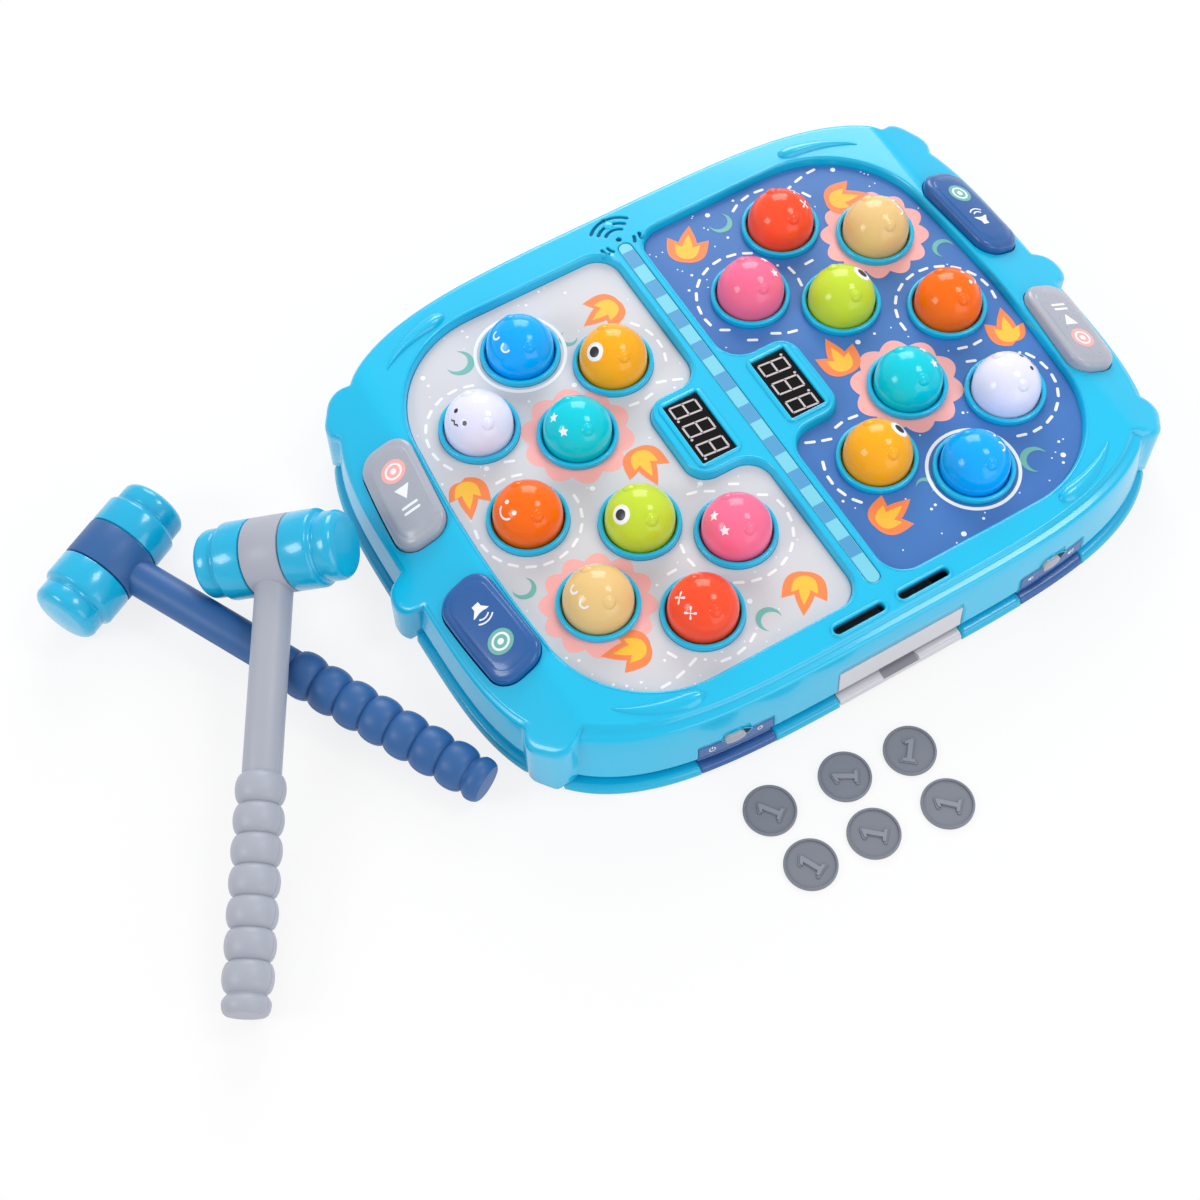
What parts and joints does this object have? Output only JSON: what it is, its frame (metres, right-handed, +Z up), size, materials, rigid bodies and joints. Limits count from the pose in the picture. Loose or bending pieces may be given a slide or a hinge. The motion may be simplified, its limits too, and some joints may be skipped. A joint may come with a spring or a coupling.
{
  "type": "mole pounding game",
  "caption": "Table-top mole pounding game: pop-up moles in facing fields, score displays, play buttons, slotted rim over a coin drawer, loose coins and soft-headed hammers.",
  "frame": {"origin": "middle of the console's flat underside", "axes": "+X along the console's long side, +Y towards the back with the speaker grille, +Z up"},
  "size_m": [0.5768, 0.3874, 0.0708],
  "materials": {
    "shell_blue": "moulded, semi-gloss",
    "base_blue": "moulded, semi-gloss",
    "grey_print": "printed film",
    "blue_print": "printed film",
    "strip_print": "printed film",
    "grey_plastic": "moulded, satin",
    "navy_plastic": "moulded, satin",
    "display_black": "polished window",
    "coin_grey": "moulded, matt",
    "cap_blue": "soft moulded cap, semi-gloss",
    "board_green": "printed circuit board",
    "mat_grey": "matt silicone",
    "steel": "zinc plated",
    "dark_plastic": "matt",
    "cell_sleeve": "shrink sleeve",
    "mole_blue": "polished",
    "mole_amber": "polished",
    "mole_white": "polished",
    "mole_teal": "polished",
    "mole_orange": "polished",
    "mole_green": "polished",
    "mole_pink": "polished",
    "mole_tan": "polished",
    "mole_red": "polished"
  },
  "bodies": {
    "console": {"top_shell": "shell_blue", "bottom_shell": "base_blue", "left_field_sheet": "grey_print", "right_field_sheet": "blue_print", "divider_strip": "strip_print", "circuit_board": "board_green", "speaker": "dark_plastic", "coin_sensor": "dark_plastic", "left_display": "display_black", "left_switch_plate": "navy_plastic", "left_switch_mat": "mat_grey", "right_display": "display_black", "right_switch_plate": "navy_plastic", "right_switch_mat": "mat_grey", "case_screw_1": "steel", "case_screw_2": "steel", "case_screw_3": "steel", "case_screw_4": "steel", "battery_1": "cell_sleeve", "battery_2": "cell_sleeve", "battery_3": "cell_sleeve", "battery_cover": "base_blue", "battery_cover_screw": "steel"},
    "left_blue_mole": {"mole_left_blue": "mole_blue"},
    "left_amber_mole": {"mole_left_amber": "mole_amber"},
    "left_white_mole": {"mole_left_white": "mole_white"},
    "left_teal_mole": {"mole_left_teal": "mole_teal"},
    "left_orange_mole": {"mole_left_orange": "mole_orange"},
    "left_green_mole": {"mole_left_green": "mole_green"},
    "left_pink_mole": {"mole_left_pink": "mole_pink"},
    "left_tan_mole": {"mole_left_tan": "mole_tan"},
    "left_red_mole": {"mole_left_red": "mole_red"},
    "right_blue_mole": {"mole_right_blue": "mole_blue"},
    "right_amber_mole": {"mole_right_amber": "mole_amber"},
    "right_white_mole": {"mole_right_white": "mole_white"},
    "right_teal_mole": {"mole_right_teal": "mole_teal"},
    "right_orange_mole": {"mole_right_orange": "mole_orange"},
    "right_green_mole": {"mole_right_green": "mole_green"},
    "right_pink_mole": {"mole_right_pink": "mole_pink"},
    "right_tan_mole": {"mole_right_tan": "mole_tan"},
    "right_red_mole": {"mole_right_red": "mole_red"},
    "left_start": {"left_start_button": "grey_plastic"},
    "left_sound": {"left_sound_button": "navy_plastic"},
    "right_start": {"right_start_button": "grey_plastic"},
    "right_sound": {"right_sound_button": "navy_plastic"},
    "left_switch": {"left_switch_knob": "grey_plastic"},
    "right_switch": {"right_switch_knob": "grey_plastic"},
    "drawer": {"coin_drawer": "grey_plastic"},
    "coin_1": {"coin_1": "coin_grey"},
    "coin_2": {"coin_2": "coin_grey"},
    "coin_3": {"coin_3": "coin_grey"},
    "coin_4": {"coin_4": "coin_grey"},
    "coin_5": {"coin_5": "coin_grey"},
    "coin_6": {"coin_6": "coin_grey"},
    "navy_hammer": {"navy_hammer_handle": "navy_plastic", "navy_hammer_right_cap": "cap_blue", "navy_hammer_left_cap": "cap_blue"},
    "grey_hammer": {"grey_hammer_handle": "grey_plastic", "grey_hammer_right_cap": "cap_blue", "grey_hammer_left_cap": "cap_blue"}
  },
  "joints": [
    {"name": "left_blue_press", "type": "slide", "parent": "console", "child": "left_blue_mole", "axis": [0, 0, -1], "range_m": [0, 0.004], "stiffness_N_per_m": 300, "springref_m": -0.003},
    {"name": "left_amber_press", "type": "slide", "parent": "console", "child": "left_amber_mole", "axis": [0, 0, -1], "range_m": [0, 0.004], "stiffness_N_per_m": 300, "springref_m": -0.003},
    {"name": "left_white_press", "type": "slide", "parent": "console", "child": "left_white_mole", "axis": [0, 0, -1], "range_m": [0, 0.004], "stiffness_N_per_m": 300, "springref_m": -0.003},
    {"name": "left_teal_press", "type": "slide", "parent": "console", "child": "left_teal_mole", "axis": [0, 0, -1], "range_m": [0, 0.004], "stiffness_N_per_m": 300, "springref_m": -0.003},
    {"name": "left_orange_press", "type": "slide", "parent": "console", "child": "left_orange_mole", "axis": [0, 0, -1], "range_m": [0, 0.004], "stiffness_N_per_m": 300, "springref_m": -0.003},
    {"name": "left_green_press", "type": "slide", "parent": "console", "child": "left_green_mole", "axis": [0, 0, -1], "range_m": [0, 0.004], "stiffness_N_per_m": 300, "springref_m": -0.003},
    {"name": "left_pink_press", "type": "slide", "parent": "console", "child": "left_pink_mole", "axis": [0, 0, -1], "range_m": [0, 0.004], "stiffness_N_per_m": 300, "springref_m": -0.003},
    {"name": "left_tan_press", "type": "slide", "parent": "console", "child": "left_tan_mole", "axis": [0, 0, -1], "range_m": [0, 0.004], "stiffness_N_per_m": 300, "springref_m": -0.003},
    {"name": "left_red_press", "type": "slide", "parent": "console", "child": "left_red_mole", "axis": [0, 0, -1], "range_m": [0, 0.004], "stiffness_N_per_m": 300, "springref_m": -0.003},
    {"name": "right_blue_press", "type": "slide", "parent": "console", "child": "right_blue_mole", "axis": [0, 0, -1], "range_m": [0, 0.004], "stiffness_N_per_m": 300, "springref_m": -0.003},
    {"name": "right_amber_press", "type": "slide", "parent": "console", "child": "right_amber_mole", "axis": [0, 0, -1], "range_m": [0, 0.004], "stiffness_N_per_m": 300, "springref_m": -0.003},
    {"name": "right_white_press", "type": "slide", "parent": "console", "child": "right_white_mole", "axis": [0, 0, -1], "range_m": [0, 0.004], "stiffness_N_per_m": 300, "springref_m": -0.003},
    {"name": "right_teal_press", "type": "slide", "parent": "console", "child": "right_teal_mole", "axis": [0, 0, -1], "range_m": [0, 0.004], "stiffness_N_per_m": 300, "springref_m": -0.003},
    {"name": "right_orange_press", "type": "slide", "parent": "console", "child": "right_orange_mole", "axis": [0, 0, -1], "range_m": [0, 0.004], "stiffness_N_per_m": 300, "springref_m": -0.003},
    {"name": "right_green_press", "type": "slide", "parent": "console", "child": "right_green_mole", "axis": [0, 0, -1], "range_m": [0, 0.004], "stiffness_N_per_m": 300, "springref_m": -0.003},
    {"name": "right_pink_press", "type": "slide", "parent": "console", "child": "right_pink_mole", "axis": [0, 0, -1], "range_m": [0, 0.004], "stiffness_N_per_m": 300, "springref_m": -0.003},
    {"name": "right_tan_press", "type": "slide", "parent": "console", "child": "right_tan_mole", "axis": [0, 0, -1], "range_m": [0, 0.004], "stiffness_N_per_m": 300, "springref_m": -0.003},
    {"name": "right_red_press", "type": "slide", "parent": "console", "child": "right_red_mole", "axis": [0, 0, -1], "range_m": [0, 0.004], "stiffness_N_per_m": 300, "springref_m": -0.003},
    {"name": "left_start_press", "type": "slide", "parent": "console", "child": "left_start", "axis": [0, 0, -1], "range_m": [0, 0.002], "stiffness_N_per_m": 400, "springref_m": -0.002},
    {"name": "left_sound_press", "type": "slide", "parent": "console", "child": "left_sound", "axis": [0, 0, -1], "range_m": [0, 0.002], "stiffness_N_per_m": 400, "springref_m": -0.002},
    {"name": "right_start_press", "type": "slide", "parent": "console", "child": "right_start", "axis": [0, 0, -1], "range_m": [0, 0.002], "stiffness_N_per_m": 400, "springref_m": -0.002},
    {"name": "right_sound_press", "type": "slide", "parent": "console", "child": "right_sound", "axis": [0, 0, -1], "range_m": [0, 0.002], "stiffness_N_per_m": 400, "springref_m": -0.002},
    {"name": "left_switch_slide", "type": "slide", "parent": "console", "child": "left_switch", "axis": [0.996, -0.0891, 0], "range_m": [0, 0.004]},
    {"name": "right_switch_slide", "type": "slide", "parent": "console", "child": "right_switch", "axis": [0.996, 0.0891, 0], "range_m": [0, 0.004]},
    {"name": "drawer_pull", "type": "slide", "parent": "console", "child": "drawer", "axis": [0, -1, 0], "range_m": [0, 0.04]},
    {"name": "coin_1_slide", "type": "slide", "parent": "console", "child": "coin_1", "axis": [-1, 0, 0], "range_m": [0, 0.02]},
    {"name": "coin_2_slide", "type": "slide", "parent": "console", "child": "coin_2", "axis": [0, 1, 0], "range_m": [0, 0.012]},
    {"name": "coin_3_slide", "type": "slide", "parent": "console", "child": "coin_3", "axis": [1, 0, 0], "range_m": [0, 0.02]},
    {"name": "coin_4_slide", "type": "slide", "parent": "console", "child": "coin_4", "axis": [0, -1, 0], "range_m": [0, 0.02]},
    {"name": "coin_5_slide", "type": "slide", "parent": "console", "child": "coin_5", "axis": [0, -1, 0], "range_m": [0, 0.02]},
    {"name": "coin_6_slide", "type": "slide", "parent": "console", "child": "coin_6", "axis": [0, -1, 0], "range_m": [0, 0.02]},
    {"name": "navy_hammer_lift", "type": "slide", "parent": "console", "child": "navy_hammer", "axis": [0, 0, 1], "range_m": [0, 0.08]},
    {"name": "grey_hammer_lift", "type": "slide", "parent": "navy_hammer", "child": "grey_hammer", "axis": [0, 0, 1], "range_m": [0, 0.08]}
  ]
}
